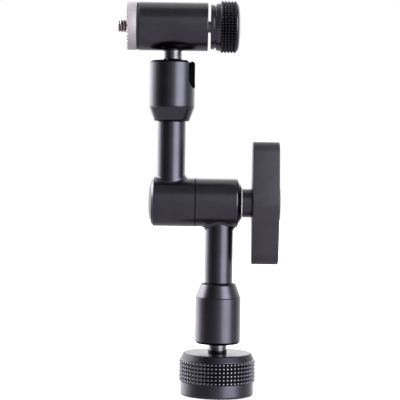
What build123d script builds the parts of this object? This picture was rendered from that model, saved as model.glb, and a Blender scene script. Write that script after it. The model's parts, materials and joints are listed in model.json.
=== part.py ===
from build123d import *
import os
from math import cos, pi, radians, sin, sqrt, tan

os.makedirs("parts", exist_ok=True)

# Articulating extension arm: two arms on a toothed elbow, with a ball joint at each free end.
# Sizes are in millimetres. The origin is the centre of the base wheel's underside, +Z is up,
# +X runs along the elbow towards the wing handle, and +Y is the side away from the viewer.

# Fits
running_gap = 0.05  # room round a part that turns or slides
press_gap = 0.02  # room round a part that is screwed or pressed home
pass_gap = 0.1  # room round a part that only passes through, or beyond one that stops short

# Layout
ball_height = 32.35  # lower ball centre above the wheel's underside
arm_length = 57.6  # elbow axis to ball centre, the same on both arms
arm_spacing = 22.9  # between the axes of the two arms, along the elbow
head_rise = 24.3  # upper ball centre to the axis of the head barrel

# Base wheel
wheel_radius = 17.1
wheel_height = 19.65
wheel_top_radius = 15.9  # flat top
wheel_shoulder = 2.8  # height of the cone from the flat top to the full radius
wheel_top_round = 0.4
wheel_bottom_round = 0.9
wheel_knurl_middle = 11.5  # height of the middle of the knurled band
wheel_knurl_rows = 6
wheel_knurl_count = 60
wheel_knurl_pitch = 1.73
wheel_knurl_height = 0.7
insert_radius = 5.0
insert_length = 9.0
tap_radius = 2.55  # wall of a 1/4-20 tapped hole
tap_depth = 7.8

# Balls and their stems, measured outwards from the ball centre
ball_radius = 7.75
neck_radius = 2.9
neck_end = 8.3
stem_radius = 4.4
stem_start = 9.0
stem_groove_width = 0.5
stem_groove_depth = 0.25
stem_grooves = (10.2, 11.5)
spigot_radius = 3.0
spigot_length = 6.0
spigot_chamfer = 0.4

# Sockets
cup_radius = 10.65
cup_bore_radius = 7.9
cup_rim = 8.2  # rim beyond the ball centre
lip_radius = 5.4  # smallest opening in front of the ball
mouth_radius = 9.2  # flared opening at the rim
rim_chamfer = 0.9
slot_width = 9.2
upper_slot_azimuth = -18.0  # degrees from +X
lower_slot_azimuth = 90.0
cup_back = 13.3  # ball centre to the joint between cup and collar
collar_length = 6.5  # the tapered part that shows
collar_small_radius = 8.6
collar_end_round = 0.9
collar_spigot_length = 2.2
seat_radius = 7.8
seat_back = 9.6  # back of the ball seat, behind the ball centre
seat_front = 5.3  # front rim of the ball seat, behind the ball centre

# Arms and elbow
tube_radius = 6.6
hub_radius = 11.3
right_reach = 10.45  # lower arm axis to the outer end of its hub
left_reach = 9.95  # upper arm axis to the outer end of its hub
root_fillet = 2.1
right_bevel_length = 2.2
right_bevel_depth = 4.3
left_bevel_length = 1.1
left_bevel_depth = 1.2
left_shoulder_length = 0.95  # shallow cone between the left bevel and the cap
elbow_teeth = 60
tooth_height = 0.45
tooth_gap = 0.1  # between the tooth tips of the released elbow
tooth_inner_radius = 8.2
spring_recess_radius = 7.2
spring_recess_depth = 1.2
spring_radius = 6.4
spring_wire_radius = 0.45
spring_turns = 1.9
cap_radius = 6.5
cap_thickness = 2.0
cap_crown = 0.5
cap_room = 0.35  # between the cap and the spindle

# Locking gear
spindle_radius = 4.6
spindle_neck_radius = 2.6
spindle_thread_radius = 4.0
spindle_end = 24.5  # lower arm axis to the threaded end
spindle_shoulder = 5.5  # lower arm axis to the start of the thread
shoulder_travel = 2.0
wedge_angle = 30.0
wedge_contact_radius = 3.6  # spindle radius under a rod tip
rod_radius = 2.9
rod_slack = 0.6  # between a released rod and its ball seat
foot_room = 0.36  # between a released rod and the end of its slope's foot
thrust_radius = 6.65
thrust_length = 4.6
thrust_chamfer = 0.4
handle_thickness = 12.5
handle_length = 57.2
handle_middle_radius = 11.0
handle_tip_radius = 6.5
handle_edge_round = 0.6
handle_boss_radius = 8.5
handle_boss_height = 0.4
handle_boss_slope = 45.0  # degrees
handle_bore_depth = 11.1
nut_radius = 6.6  # across the corners, halved
nut_length = 9.0

# Head, measured along X from the axis of the upper arm
barrel_radius = 11.3
barrel_left = 15.8
barrel_right = 16.35
barrel_edge = 0.35
stem_seat = 10.3  # barrel axis to the spot face that the stem stands against
gasket_radius = 10.9
gasket_width = 1.0
ring_radius = 11.15
ring_width = 3.75  # behind the teeth
ring_teeth = 36
ring_tooth_height = 0.75
ring_tooth_inner_radius = 6.6
ring_spigot_radius = 7.0
ring_spigot_length = 4.6
stud_radius = 3.175  # 1/4-20 thread, over its crests
stud_reach = 4.1  # beyond the teeth
stud_chamfer = 0.6
stud_bore_radius = 3.3
shank_radius = 2.75
cavity_radius = 5.6
cavity_start = 6.0
clip_radius = 5.0
clip_thickness = 1.2
clip_groove_radius = 2.3
clip_slot = 3.4
screw_push = 1.1  # travel until the knob meets the barrel
screw_pull = 3.0  # travel until the clip meets the guide bush
bush_length = 4.9

# Head knob, measured along X from the knob's inner face
knob_gap = 1.25  # barrel end to knob
knob_flange_radius = 10.45
knob_flange_width = 1.7
knob_groove_radius = 9.9
knob_groove_width = 0.7
knob_bevel_radius = 10.85
knob_radius = 11.3
knob_bevel_width = 2.2
knob_knurl_rows = 5
knob_knurl_count = 52
knob_knurl_pitch = 1.48
knob_knurl_height = 0.65
knob_round_drop = 4.0  # the rounded edge narrows the knob by this much, in radius
knob_dome_height = 0.5
knob_length = 14.0
knob_bore_depth = 11.0

# Places that follow from the sizes above
elbow_height = ball_height + arm_length
upper_x = -arm_spacing
joint_x = -arm_spacing / 2
upper_ball_height = elbow_height + arm_length
head_height = upper_ball_height + head_rise
socket_radius = ball_radius + running_gap
lip_height = sqrt(socket_radius**2 - lip_radius**2)
cup_seam = arm_length - cup_back
collar_end = cup_seam - collar_length
tube_end = cup_seam + collar_spigot_length
thrust_start = right_reach + pass_gap
handle_start = thrust_start + thrust_length
tooth_crest = tooth_gap / 2
tooth_root = tooth_crest + tooth_height
knurl_skin = 1.0  # the knurled band overlaps its core by this much
clear_cut = 1.0  # how far a cutter runs past the face it cuts
groove_cut = 0.3  # the same for a V groove, as a share of the tooth height
slot_reach = cup_radius + clear_cut
barrel_left_x = upper_x - barrel_left
barrel_right_x = upper_x + barrel_right
ring_face_x = barrel_left_x - gasket_width - ring_width
knob_start = barrel_right_x + knob_gap


def finish(piece, name):
    # Name a finished piece and write its file.
    piece.label = name
    export_step(piece, f"parts/{name}.step")


def crown(radius, height):
    # Radius of the sphere that makes a dome of this edge radius and height.
    return (radius**2 + height**2) / (2 * height)


def side_plane(x, height, up):
    # Sketch plane through the viewer's XZ plane, local x along +X and local y along up * Z.
    return Plane(origin=(x, 0, height), x_dir=(1, 0, 0), z_dir=(0, -up, 0))


def cross_plane(x, height, up):
    # Sketch plane across a vertical axis, extruding along up * Z.
    return Plane(origin=(x, 0, height), x_dir=(1, 0, 0), z_dir=(0, 0, up))


def end_plane(x, height):
    # Sketch plane across a horizontal axis, extruding along +X.
    return Plane(origin=(x, 0, height), x_dir=(0, 1, 0), z_dir=(1, 0, 0))


def knurled_band(rows, pitch, count, root, height):
    # Rows of square pyramids round a ring on the Z axis: ridges turned round the ring, crossed
    # by as many lengthwise grooves of the same depth.
    crest = root + height
    with BuildPart() as band:
        with BuildSketch(Plane.XZ):
            with BuildLine():
                ridge = [(root, 0)]
                for row in range(rows):
                    ridge.append((crest, (row + 0.5) * pitch))
                    ridge.append((root, (row + 1) * pitch))
                inside = [(root - knurl_skin, rows * pitch), (root - knurl_skin, 0)]
                Polyline(*ridge, *inside, close=True)
            make_face()
        revolve(axis=Axis.Z)
        step = pi / count
        ring = []
        for index in range(2 * count):
            radius = crest if index % 2 == 0 else root
            ring.append((radius * cos(index * step), radius * sin(index * step)))
        with BuildSketch():
            with BuildLine():
                Polyline(*ring, close=True)
            make_face()
        extrude(amount=rows * pitch, mode=Mode.INTERSECT)
    return band.part


def tooth_grooves(plane, count, inner, outer, height):
    # V grooves between radial face teeth, each tapering towards the axis. The plane holds the
    # tooth crests and faces away from the teeth's roots.
    with BuildPart() as groove:
        for radius in (inner - clear_cut, outer + clear_cut):
            half = (1 + groove_cut) * pi * radius / count
            with BuildSketch(Plane(origin=(radius, 0, 0), x_dir=(0, 1, 0), z_dir=(1, 0, 0))):
                with BuildLine():
                    top = groove_cut * height
                    Polyline((0, -height), (half, top), (-half, top), close=True)
                make_face()
        loft()
    with Locations(plane):
        with PolarLocations(0, count):
            add(groove.part, mode=Mode.SUBTRACT)


# Base wheel: turned and knurled, with a threaded insert below and the lower stem's bore above.
wheel_band = knurled_band(
    wheel_knurl_rows,
    wheel_knurl_pitch,
    wheel_knurl_count,
    wheel_radius + press_gap,
    wheel_knurl_height,
)
wheel_band_bottom = wheel_knurl_middle - wheel_knurl_rows * wheel_knurl_pitch / 2
stem_bore_radius = spigot_radius + running_gap
stem_bore_depth = spigot_length + pass_gap
with BuildPart() as base_wheel:
    with BuildSketch(Plane.XZ):
        with BuildLine():
            Polyline(
                (0, 0),
                (wheel_radius, 0),
                (wheel_radius, wheel_height - wheel_shoulder),
                (wheel_top_radius, wheel_height),
                (0, wheel_height),
                close=True,
            )
        make_face()
    revolve(axis=Axis.Z)
    fillet(base_wheel.edges().filter_by(GeomType.CIRCLE).sort_by(Axis.Z)[-1], wheel_top_round)
    fillet(base_wheel.edges().filter_by(GeomType.CIRCLE).sort_by(Axis.Z)[0], wheel_bottom_round)
    with Locations((0, 0, wheel_band_bottom)):
        add(wheel_band)
    with BuildSketch(Plane.XY):
        Circle(insert_radius + press_gap)
    extrude(amount=insert_length, mode=Mode.SUBTRACT)
    with BuildSketch(Plane.XY.offset(wheel_height)):
        Circle(stem_bore_radius)
    extrude(amount=-stem_bore_depth, mode=Mode.SUBTRACT)
finish(base_wheel.part, "base_wheel")

# Threaded insert in the underside of the wheel.
with BuildPart() as base_insert:
    with BuildSketch(Plane.XZ):
        with BuildLine():
            Polyline(
                (tap_radius, 0),
                (insert_radius, 0),
                (insert_radius, insert_length),
                (0, insert_length),
                (0, tap_depth),
                (tap_radius, tap_depth),
                close=True,
            )
        make_face()
    revolve(axis=Axis.Z)
finish(base_insert.part, "base_insert")


def ball_stem(x, height, up, shoulder, name):
    # Ball, narrow neck, grooved stem and spigot, turned in one piece.
    ball_top = sqrt(ball_radius**2 - neck_radius**2)
    spigot_end = shoulder + spigot_length
    waist = stem_radius - stem_groove_depth
    with BuildPart() as stem:
        with BuildSketch(side_plane(x, height, up)):
            with BuildLine():
                ThreePointArc((0, -ball_radius), (ball_radius, 0), (neck_radius, ball_top))
                outline = [(neck_radius, ball_top), (neck_radius, neck_end)]
                outline.append((stem_radius, stem_start))
                for groove in stem_grooves:
                    outline.append((stem_radius, groove))
                    outline.append((waist, groove))
                    outline.append((waist, groove + stem_groove_width))
                    outline.append((stem_radius, groove + stem_groove_width))
                outline.append((stem_radius, shoulder))
                outline.append((spigot_radius, shoulder))
                outline.append((spigot_radius, spigot_end - spigot_chamfer))
                outline.append((spigot_radius - spigot_chamfer, spigot_end))
                outline.append((0, spigot_end))
                outline.append((0, -ball_radius))
                Polyline(*outline)
            make_face()
        revolve(axis=Axis((x, 0, height), (0, 0, 1)))
    finish(stem.part, name)


lower_shoulder = ball_height - wheel_height - running_gap
upper_shoulder = head_rise - stem_seat - running_gap
ball_stem(0, ball_height, -1, lower_shoulder, "lower_ball_stem")
ball_stem(upper_x, upper_ball_height, 1, upper_shoulder, "upper_ball_stem")


def socket(x, up, slot_azimuth, side):
    # The pieces of one ball socket: slotted cup, tapered collar and ball seat.
    profile_plane = side_plane(x, elbow_height, up)
    axis = Axis((x, 0, elbow_height), (0, 0, 1))
    ball = elbow_height + up * arm_length
    rim = arm_length + cup_rim
    slot_way = (cos(radians(slot_azimuth)), sin(radians(slot_azimuth)), 0)
    slot_side = (-up * slot_way[1], up * slot_way[0], 0)
    with BuildPart() as cup:
        with BuildSketch(profile_plane):
            with BuildLine():
                Polyline(
                    (socket_radius, arm_length),
                    (cup_bore_radius, arm_length),
                    (cup_bore_radius, cup_seam),
                    (cup_radius, cup_seam),
                    (cup_radius, rim - rim_chamfer),
                    (cup_radius - rim_chamfer, rim),
                    (mouth_radius, rim),
                    (lip_radius, arm_length + lip_height),
                )
                RadiusArc(
                    (lip_radius, arm_length + lip_height),
                    (socket_radius, arm_length),
                    socket_radius,
                )
            make_face()
        revolve(axis=axis)
        with BuildSketch(Plane(origin=(x, 0, ball), x_dir=slot_side, z_dir=slot_way)):
            Circle(slot_width / 2)
            with Locations((0, slot_reach / 2)):
                Rectangle(slot_width, slot_reach)
        extrude(amount=slot_reach, mode=Mode.SUBTRACT)
    finish(cup.part, f"{side}_socket_cup")

    with BuildPart() as collar:
        with BuildSketch(profile_plane):
            with BuildLine():
                bore = tube_radius + press_gap
                spigot = cup_bore_radius - press_gap
                Polyline(
                    (collar_small_radius - collar_end_round, collar_end),
                    (bore, collar_end),
                    (bore, tube_end),
                    (spigot, tube_end),
                    (spigot, cup_seam),
                    (cup_radius, cup_seam),
                    (collar_small_radius, collar_end + collar_end_round),
                )
                RadiusArc(
                    (collar_small_radius, collar_end + collar_end_round),
                    (collar_small_radius - collar_end_round, collar_end),
                    collar_end_round,
                )
            make_face()
        revolve(axis=axis)
    finish(collar.part, f"{side}_socket_collar")

    seat_rim = sqrt(socket_radius**2 - seat_front**2)
    with BuildPart() as seat:
        with BuildSketch(profile_plane):
            with BuildLine():
                Polyline(
                    (0, arm_length - socket_radius),
                    (0, arm_length - seat_back),
                    (seat_radius, arm_length - seat_back),
                    (seat_radius, arm_length - seat_front),
                    (seat_rim, arm_length - seat_front),
                )
                RadiusArc(
                    (seat_rim, arm_length - seat_front),
                    (0, arm_length - socket_radius),
                    socket_radius,
                )
            make_face()
        revolve(axis=axis)
    finish(seat.part, f"{side}_ball_seat")


socket(upper_x, 1, upper_slot_azimuth, "upper")
socket(0, -1, lower_slot_azimuth, "lower")

# Wedge geometry: a rod tip is a sphere that rests on a slope of the spindle.
wedge = radians(wedge_angle)
tip_reach = rod_radius + running_gap
contact_offset = tip_reach * sin(wedge)
tip_centre = wedge_contact_radius + tip_reach * cos(wedge)
slope_start = -contact_offset - (spindle_radius - wedge_contact_radius) / tan(wedge)
slope_end = -contact_offset + (wedge_contact_radius - spindle_neck_radius) / tan(wedge)
slope_foot = rod_radius + foot_room
spindle_bore_radius = spindle_radius + running_gap
rod_bore_radius = rod_radius + running_gap


# Lower arm: hub with a bevelled outer end, and tube, in one piece.
lower_root = joint_x + tooth_root
hub_axis = Axis((0, 0, elbow_height), (1, 0, 0))
with BuildPart() as lower_arm:
    with BuildSketch(end_plane(joint_x + tooth_crest, elbow_height)):
        Circle(hub_radius)
    extrude(amount=right_reach - joint_x - tooth_crest)
    with BuildSketch(cross_plane(0, elbow_height, -1)):
        Circle(tube_radius)
    extrude(amount=tube_end)
    fillet(lower_arm.edges().filter_by(GeomType.BSPLINE), root_fillet)
    with BuildSketch(side_plane(0, elbow_height, 1)):
        with BuildLine():
            bevel_run = right_bevel_length * (1 + clear_cut / right_bevel_depth)
            Polyline(
                (right_reach, hub_radius - right_bevel_depth),
                (right_reach + clear_cut, hub_radius - right_bevel_depth),
                (right_reach + clear_cut, hub_radius + clear_cut),
                (right_reach - bevel_run, hub_radius + clear_cut),
                close=True,
            )
        make_face()
    revolve(axis=hub_axis, mode=Mode.SUBTRACT)
    with BuildSketch(cross_plane(0, elbow_height, -1)):
        Circle(rod_bore_radius)
    extrude(amount=tube_end, mode=Mode.SUBTRACT)
    with BuildSketch(end_plane(joint_x, elbow_height)):
        Circle(tooth_inner_radius)
    extrude(amount=tooth_root, mode=Mode.SUBTRACT)
    with BuildSketch(end_plane(lower_root, elbow_height)):
        Circle(spring_recess_radius)
    extrude(amount=spring_recess_depth, mode=Mode.SUBTRACT)
    with BuildSketch(end_plane(joint_x, elbow_height)):
        Circle(spindle_bore_radius)
    extrude(amount=spindle_shoulder + shoulder_travel - joint_x, mode=Mode.SUBTRACT)
    with BuildSketch(end_plane(0, elbow_height)):
        Circle(spindle_thread_radius + pass_gap)
    extrude(amount=right_reach, mode=Mode.SUBTRACT)
    lower_crest = Plane(
        origin=(joint_x + tooth_crest, 0, elbow_height), x_dir=(0, 0, 1), z_dir=(-1, 0, 0)
    )
    tooth_grooves(lower_crest, elbow_teeth, tooth_inner_radius, hub_radius, tooth_height)
finish(lower_arm.part, "lower_arm")

# Upper arm: hub with a stepped bevel at its outer end, which a cap closes, and tube, in one piece.
upper_end_x = upper_x - left_reach
upper_root = joint_x - tooth_root
with BuildPart() as upper_arm:
    with BuildSketch(end_plane(upper_end_x, elbow_height)):
        Circle(hub_radius)
    extrude(amount=joint_x - tooth_crest - upper_end_x)
    with BuildSketch(cross_plane(upper_x, elbow_height, 1)):
        Circle(tube_radius)
    extrude(amount=tube_end)
    fillet(upper_arm.edges().filter_by(GeomType.BSPLINE), root_fillet)
    with BuildSketch(side_plane(0, elbow_height, 1)):
        with BuildLine():
            bevel_start_x = upper_end_x + left_shoulder_length
            bevel_run = left_bevel_length * (1 + clear_cut / left_bevel_depth)
            Polyline(
                (upper_end_x, cap_radius + press_gap),
                (bevel_start_x, hub_radius - left_bevel_depth),
                (bevel_start_x + bevel_run, hub_radius + clear_cut),
                (upper_end_x - clear_cut, hub_radius + clear_cut),
                (upper_end_x - clear_cut, cap_radius + press_gap),
                close=True,
            )
        make_face()
    revolve(axis=hub_axis, mode=Mode.SUBTRACT)
    with BuildSketch(cross_plane(upper_x, elbow_height, 1)):
        Circle(rod_bore_radius)
    extrude(amount=tube_end, mode=Mode.SUBTRACT)
    with BuildSketch(end_plane(joint_x, elbow_height)):
        Circle(tooth_inner_radius)
    extrude(amount=-tooth_root, mode=Mode.SUBTRACT)
    with BuildSketch(end_plane(upper_root, elbow_height)):
        Circle(spring_recess_radius)
    extrude(amount=-spring_recess_depth, mode=Mode.SUBTRACT)
    with BuildSketch(end_plane(joint_x, elbow_height)):
        Circle(spindle_bore_radius)
    extrude(amount=upper_end_x - joint_x, mode=Mode.SUBTRACT)
    with BuildSketch(end_plane(upper_end_x, elbow_height)):
        Circle(cap_radius + press_gap)
    extrude(amount=cap_thickness, mode=Mode.SUBTRACT)
    upper_crest = Plane(
        origin=(joint_x - tooth_crest, 0, elbow_height), x_dir=(0, 0, 1), z_dir=(1, 0, 0)
    )
    tooth_grooves(upper_crest, elbow_teeth, tooth_inner_radius, hub_radius, tooth_height)
finish(upper_arm.part, "upper_arm")

# Crowned cap that closes the spindle's bore.
with BuildPart() as elbow_end_cap:
    with BuildSketch(side_plane(upper_end_x, elbow_height, 1)):
        with BuildLine():
            Polyline((0, cap_radius), (cap_thickness, cap_radius), (cap_thickness, 0), (-cap_crown, 0))
            RadiusArc((-cap_crown, 0), (0, cap_radius), crown(cap_radius, cap_crown))
        make_face()
    revolve(axis=hub_axis)
finish(elbow_end_cap.part, "elbow_end_cap")

# Spring that pushes the toothed faces apart when the elbow is released.
spring_room = 2 * (tooth_root + spring_recess_depth)
spring_height = spring_room - 2 * spring_wire_radius - 2 * running_gap
spring_start = joint_x - spring_height / 2
with BuildPart() as elbow_spring:
    with BuildLine():
        coil = Helix(
            pitch=spring_height / spring_turns,
            height=spring_height,
            radius=spring_radius,
            center=(spring_start, 0, elbow_height),
            direction=(1, 0, 0),
        )
    with BuildSketch(Plane(origin=coil @ 0, z_dir=coil % 0)):
        Circle(spring_wire_radius)
    sweep()
finish(elbow_spring.part, "elbow_spring")

# Spindle: a cone under the upper rod, and a flat ramp under the lower rod that also keys it.
spindle_left = upper_end_x + cap_thickness + cap_room
with BuildPart() as elbow_spindle:
    with BuildSketch(side_plane(0, elbow_height, 1)):
        with BuildLine():
            Polyline(
                (spindle_left, 0),
                (spindle_left, spindle_radius),
                (upper_x + slope_start, spindle_radius),
                (upper_x + slope_end, spindle_neck_radius),
                (upper_x + slope_foot, spindle_neck_radius),
                (upper_x + slope_foot, spindle_radius),
                (spindle_shoulder, spindle_radius),
                (spindle_shoulder, spindle_thread_radius),
                (spindle_end - stud_chamfer, spindle_thread_radius),
                (spindle_end, spindle_thread_radius - stud_chamfer),
                (spindle_end, 0),
                close=True,
            )
        make_face()
    revolve(axis=hub_axis)
    with BuildSketch(side_plane(0, elbow_height, -1)):
        with BuildLine():
            rise = (spindle_radius + clear_cut - wedge_contact_radius) / tan(wedge)
            Polyline(
                (-contact_offset - rise, spindle_radius + clear_cut),
                (slope_end, spindle_neck_radius),
                (slope_foot, spindle_neck_radius),
                (slope_foot, spindle_radius + clear_cut),
                close=True,
            )
        make_face()
    extrude(amount=rod_bore_radius, both=True, mode=Mode.SUBTRACT)
finish(elbow_spindle.part, "elbow_spindle")


def push_rod(x, up, name):
    # Rod that carries the spindle's wedge to a ball seat, with a spherical tip.
    rod_end = arm_length - seat_back - rod_slack
    with BuildPart() as rod:
        with BuildSketch(side_plane(x, elbow_height, up)):
            with BuildLine():
                ThreePointArc(
                    (0, tip_centre - rod_radius),
                    (rod_radius * sin(pi / 4), tip_centre - rod_radius * cos(pi / 4)),
                    (rod_radius, tip_centre),
                )
                Polyline(
                    (rod_radius, tip_centre),
                    (rod_radius, rod_end - spigot_chamfer),
                    (rod_radius - spigot_chamfer, rod_end),
                    (0, rod_end),
                    (0, tip_centre - rod_radius),
                )
            make_face()
        revolve(axis=Axis((x, 0, elbow_height), (0, 0, 1)))
    finish(rod.part, name)


push_rod(upper_x, 1, "upper_push_rod")
push_rod(0, -1, "lower_push_rod")

# Thrust collar between the hub and the wing handle.
with BuildPart() as thrust_collar:
    with BuildSketch(end_plane(thrust_start, elbow_height)):
        Circle(thrust_radius)
        Circle(spindle_thread_radius + pass_gap, mode=Mode.SUBTRACT)
    extrude(amount=thrust_length)
    rims = thrust_collar.edges().filter_by(GeomType.CIRCLE).sort_by(SortBy.RADIUS)
    chamfer(rims[-2:], thrust_chamfer)
finish(thrust_collar.part, "thrust_collar")

# Wing handle: a flat lozenge with rounded edges, a hexagonal pocket and a blind hole.
tip_place = handle_length / 2 - handle_tip_radius
with BuildPart() as wing_handle:
    with BuildSketch(end_plane(handle_start, elbow_height)):
        Circle(handle_middle_radius)
        with Locations((0, tip_place), (0, -tip_place)):
            Circle(handle_tip_radius)
        make_hull()
    extrude(amount=handle_thickness)
    fillet(wing_handle.faces().filter_by(Axis.X).edges(), handle_edge_round)
    with BuildSketch(end_plane(handle_start + handle_thickness, elbow_height)):
        Circle(handle_boss_radius)
    extrude(amount=handle_boss_height, taper=handle_boss_slope)
    with BuildSketch(end_plane(handle_start, elbow_height)):
        RegularPolygon(nut_radius + press_gap, 6)
    extrude(amount=nut_length, mode=Mode.SUBTRACT)
    with BuildSketch(end_plane(handle_start, elbow_height)):
        Circle(spindle_thread_radius + pass_gap)
    extrude(amount=handle_bore_depth, mode=Mode.SUBTRACT)
finish(wing_handle.part, "wing_handle")

# Hexagonal nut set into the handle.
with BuildPart() as handle_nut:
    with BuildSketch(end_plane(handle_start, elbow_height)):
        RegularPolygon(nut_radius, 6)
        Circle(spindle_thread_radius + running_gap, mode=Mode.SUBTRACT)
    extrude(amount=nut_length)
finish(handle_nut.part, "handle_nut")

# Head barrel: crosswise cylinder that the upper stem carries, bored for the captive screw.
clip_place = cavity_start + screw_push + running_gap
bush_start = clip_place + clip_thickness + screw_pull + pass_gap
with BuildPart() as head_barrel:
    with BuildSketch(end_plane(barrel_left_x, head_height)):
        Circle(barrel_radius)
    extrude(amount=barrel_left + barrel_right)
    chamfer(head_barrel.faces().filter_by(Axis.X).edges(), barrel_edge)
    with BuildSketch(end_plane(barrel_left_x, head_height)):
        Circle(ring_spigot_radius + press_gap)
    extrude(amount=ring_spigot_length - gasket_width, mode=Mode.SUBTRACT)
    with BuildSketch(end_plane(barrel_left_x, head_height)):
        Circle(stud_bore_radius)
    extrude(amount=barrel_left + cavity_start, mode=Mode.SUBTRACT)
    with BuildSketch(end_plane(upper_x + cavity_start, head_height)):
        Circle(cavity_radius)
    extrude(amount=barrel_right - cavity_start, mode=Mode.SUBTRACT)
    with BuildSketch(cross_plane(upper_x, head_height - barrel_radius - clear_cut, 1)):
        Circle(stem_radius + running_gap)
    extrude(amount=barrel_radius + clear_cut - stem_seat, mode=Mode.SUBTRACT)
    with BuildSketch(cross_plane(upper_x, head_height - stem_seat, 1)):
        Circle(stem_bore_radius)
    extrude(amount=stem_bore_depth, mode=Mode.SUBTRACT)
finish(head_barrel.part, "head_barrel")

# Guide bush that closes the barrel's cavity and carries the screw's shank.
with BuildPart() as guide_bush:
    with BuildSketch(end_plane(upper_x + bush_start, head_height)):
        Circle(cavity_radius - press_gap)
        Circle(shank_radius + running_gap, mode=Mode.SUBTRACT)
    extrude(amount=bush_length)
finish(guide_bush.part, "guide_bush")

# Toothed ring that stops the attached device from turning, with its spigot in the barrel.
with BuildPart() as tooth_ring:
    with BuildSketch(end_plane(ring_face_x - ring_tooth_height, head_height)):
        Circle(ring_radius)
    extrude(amount=ring_tooth_height + ring_width)
    with BuildSketch(end_plane(ring_face_x - ring_tooth_height, head_height)):
        Circle(ring_tooth_inner_radius)
    extrude(amount=ring_tooth_height, mode=Mode.SUBTRACT)
    with BuildSketch(end_plane(ring_face_x + ring_width, head_height)):
        Circle(ring_spigot_radius)
    extrude(amount=ring_spigot_length)
    with BuildSketch(end_plane(ring_face_x, head_height)):
        Circle(stud_bore_radius)
    extrude(amount=ring_width + ring_spigot_length, mode=Mode.SUBTRACT)
    ring_crest = Plane(
        origin=(ring_face_x - ring_tooth_height, 0, head_height), x_dir=(0, 0, 1), z_dir=(-1, 0, 0)
    )
    tooth_grooves(ring_crest, ring_teeth, ring_tooth_inner_radius, ring_radius, ring_tooth_height)
finish(tooth_ring.part, "tooth_ring")

# Soft ring between the toothed ring and the barrel.
with BuildPart() as ring_gasket:
    with BuildSketch(end_plane(barrel_left_x - gasket_width, head_height)):
        Circle(gasket_radius)
        Circle(ring_spigot_radius + press_gap, mode=Mode.SUBTRACT)
    extrude(amount=gasket_width)
finish(ring_gasket.part, "ring_gasket")

# Captive screw: threaded stud, plain shank and the groove of its clip.
stud_tip = ring_face_x - ring_tooth_height - stud_reach
stud_end = ring_face_x - running_gap
clip_start = upper_x + clip_place
shank_end = knob_start + knob_bore_depth
with BuildPart() as head_screw:
    with BuildSketch(side_plane(0, head_height, 1)):
        with BuildLine():
            Polyline(
                (stud_tip, 0),
                (stud_tip, stud_radius - stud_chamfer),
                (stud_tip + stud_chamfer, stud_radius),
                (stud_end, stud_radius),
                (stud_end, shank_radius),
                (clip_start - running_gap, shank_radius),
                (clip_start - running_gap, clip_groove_radius),
                (clip_start + clip_thickness + running_gap, clip_groove_radius),
                (clip_start + clip_thickness + running_gap, shank_radius),
                (shank_end, shank_radius),
                (shank_end, 0),
                close=True,
            )
        make_face()
    revolve(axis=Axis((0, 0, head_height), (1, 0, 0)))
finish(head_screw.part, "head_screw")

# Open clip on the screw, which keeps it in the barrel.
with BuildPart() as screw_clip:
    with BuildSketch(end_plane(clip_start, head_height)):
        Circle(clip_radius)
        Circle(clip_groove_radius + running_gap, mode=Mode.SUBTRACT)
        with Locations((0, -clip_radius / 2)):
            Rectangle(clip_slot, clip_radius, mode=Mode.SUBTRACT)
    extrude(amount=clip_thickness)
finish(screw_clip.part, "screw_clip")

# Knurled knob on the screw, with a flange, a groove, a bevelled ring and a domed end.
knob_band = knurled_band(
    knob_knurl_rows,
    knob_knurl_pitch,
    knob_knurl_count,
    knob_radius + press_gap,
    knob_knurl_height,
)
groove_start = knob_flange_width
bevel_start = groove_start + knob_groove_width
bevel_end = bevel_start + knob_bevel_width
band_end = bevel_end + knob_knurl_rows * knob_knurl_pitch
dome_edge = knob_length - knob_dome_height
dome_radius = knob_radius - knob_round_drop
round_way = dome_edge - band_end
with BuildPart() as head_knob:
    with BuildSketch(side_plane(knob_start, head_height, 1)):
        with BuildLine():
            Polyline(
                (knob_length, 0),
                (0, 0),
                (0, knob_flange_radius),
                (groove_start, knob_flange_radius),
                (groove_start, knob_groove_radius),
                (bevel_start, knob_groove_radius),
                (bevel_start, knob_bevel_radius),
                (bevel_end, knob_radius),
                (band_end, knob_radius),
            )
            EllipticalCenterArc((band_end, dome_radius), round_way, knob_round_drop, arc_size=90)
            RadiusArc((dome_edge, dome_radius), (knob_length, 0), crown(dome_radius, knob_dome_height))
        make_face()
    revolve(axis=Axis((0, 0, head_height), (1, 0, 0)))
    with Locations(Plane(origin=(knob_start + bevel_end, 0, head_height), z_dir=(1, 0, 0))):
        add(knob_band)
    with BuildSketch(end_plane(knob_start, head_height)):
        Circle(shank_radius + press_gap)
    extrude(amount=knob_bore_depth, mode=Mode.SUBTRACT)
finish(head_knob.part, "head_knob")
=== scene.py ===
import bmesh
import bpy
import json
import numpy as np
from math import radians
from mathutils import Euler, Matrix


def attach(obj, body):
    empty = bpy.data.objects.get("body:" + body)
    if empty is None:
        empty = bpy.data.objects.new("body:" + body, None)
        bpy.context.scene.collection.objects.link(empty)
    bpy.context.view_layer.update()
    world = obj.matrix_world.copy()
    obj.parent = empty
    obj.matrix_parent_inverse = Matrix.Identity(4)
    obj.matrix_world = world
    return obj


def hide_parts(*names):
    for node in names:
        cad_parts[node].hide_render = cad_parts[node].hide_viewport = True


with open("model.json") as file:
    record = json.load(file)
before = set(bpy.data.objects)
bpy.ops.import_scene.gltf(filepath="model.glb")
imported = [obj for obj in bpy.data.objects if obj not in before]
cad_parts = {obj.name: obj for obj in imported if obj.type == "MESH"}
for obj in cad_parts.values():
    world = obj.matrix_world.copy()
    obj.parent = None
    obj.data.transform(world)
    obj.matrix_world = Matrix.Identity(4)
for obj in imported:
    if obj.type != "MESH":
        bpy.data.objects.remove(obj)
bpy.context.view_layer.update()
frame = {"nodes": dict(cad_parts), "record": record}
print("frame loaded:", len(frame["nodes"]), "nodes")

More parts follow.
